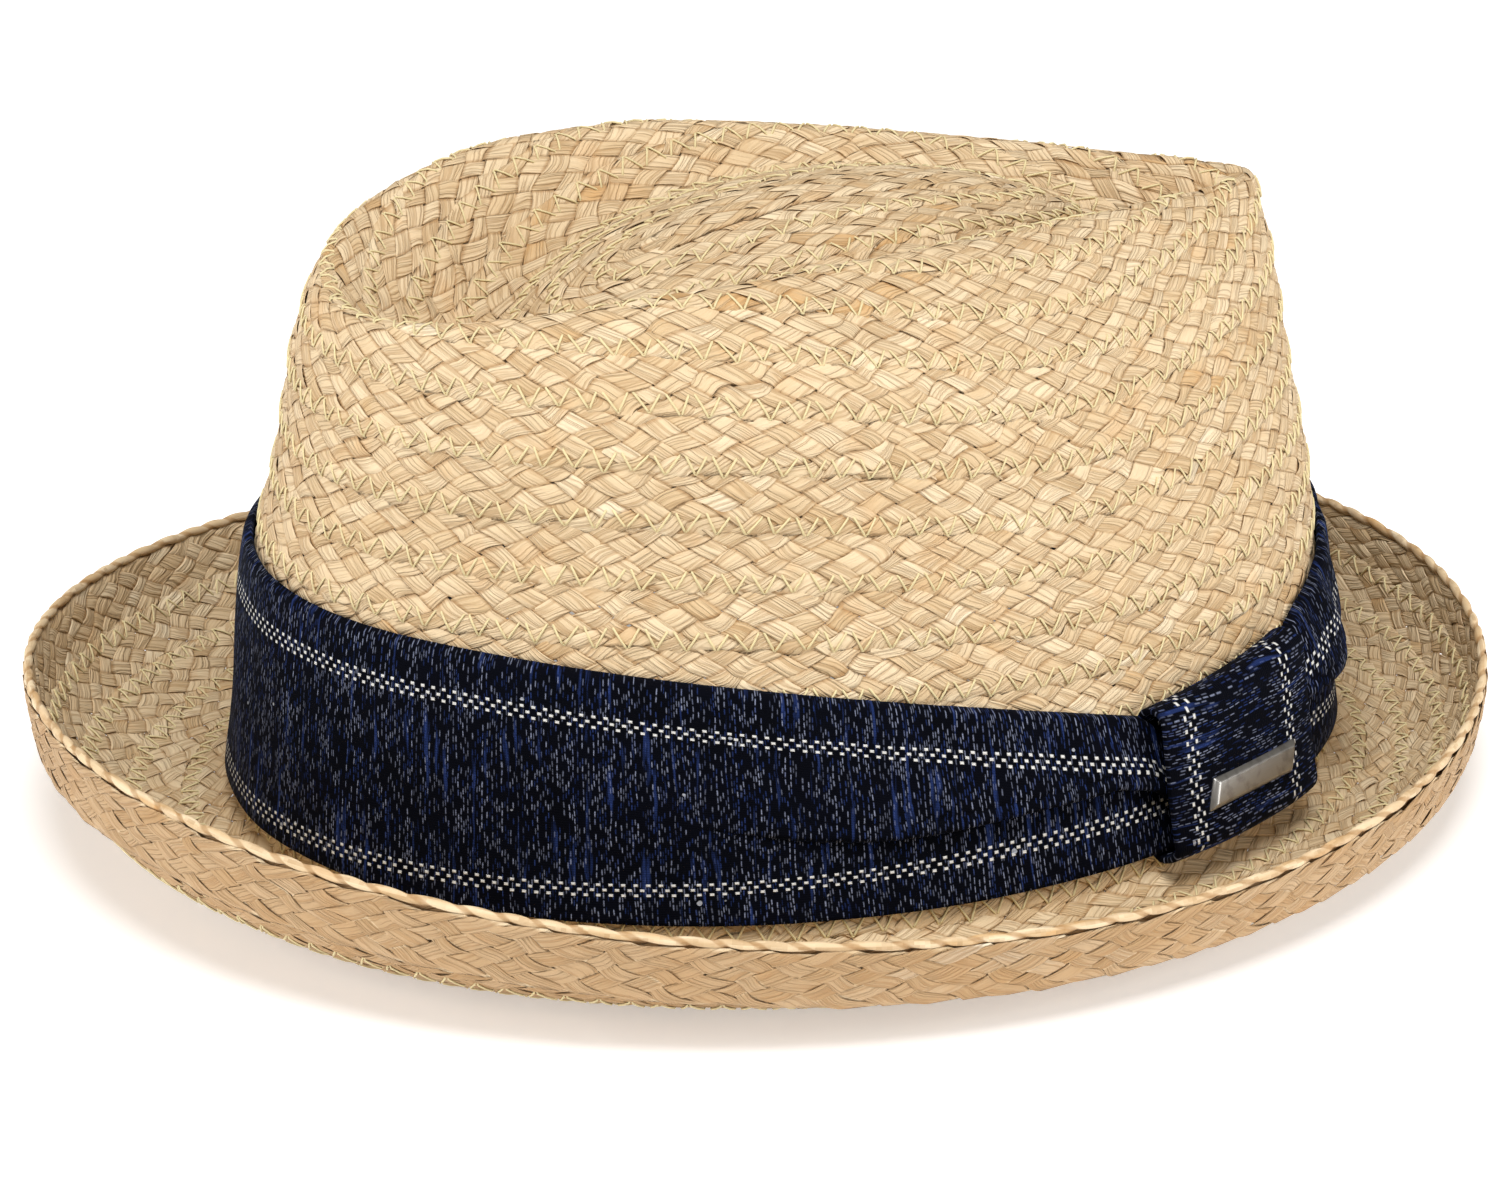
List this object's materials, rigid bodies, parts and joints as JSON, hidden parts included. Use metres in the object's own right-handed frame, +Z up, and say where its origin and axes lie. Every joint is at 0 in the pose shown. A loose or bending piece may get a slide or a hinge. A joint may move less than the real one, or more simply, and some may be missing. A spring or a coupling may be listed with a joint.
{
  "type": "fedora hat",
  "caption": "Sewn raffia-plait fedora with a teardrop crown, a short brim turned up all round, a pleated dark linen band gathered by a keeper loop, and a small plain metal bar.",
  "frame": {"origin": "on the surface that the hat stands on, under the centre of the brim", "axes": "+Z up through the crown; the front of the hat is -Y and the wearer's left is +X"},
  "size_m": [0.252, 0.2796, 0.1162],
  "materials": {
    "raffia": "natural undyed raffia strips in a flat woven plait, lapped and zigzag sewn, dry and fibrous with a faint sheen",
    "linen": "matt navy slub linen with white dashed pinstripes",
    "badge_metal": "fine brushed, slightly worn bright metal",
    "sweatband_cotton": "matt cotton twill",
    "binding_tape": "close-woven grosgrain tape with a soft sheen",
    "label_cloth": "blank woven satin label"
  },
  "bodies": {
    "root": {"tip_centre": "raffia", "tip_row_1": "raffia", "tip_row_2": "raffia", "tip_row_3": "raffia", "tip_row_4": "raffia", "tip_row_5": "raffia", "tip_row_6": "raffia", "tip_row_7": "raffia", "wall_row_1": "raffia", "wall_row_2": "raffia", "wall_row_3": "raffia", "wall_row_4": "raffia", "wall_row_5": "raffia", "wall_row_6": "raffia", "wall_row_7": "raffia", "wall_row_8": "raffia", "wall_row_9": "raffia", "wall_row_10": "raffia", "brim_row_1": "raffia", "brim_row_2": "raffia", "brim_row_3": "raffia", "brim_row_4": "raffia", "brim_row_5": "raffia", "brim_edge_ply": "raffia", "hat_band": "linen", "keeper_loop": "linen", "badge_plate": "badge_metal", "badge_backing": "badge_metal", "sweatband": "sweatband_cotton", "sweatband_binding": "binding_tape", "sweatband_bow": "binding_tape", "size_label": "label_cloth"}
  },
  "joints": []
}
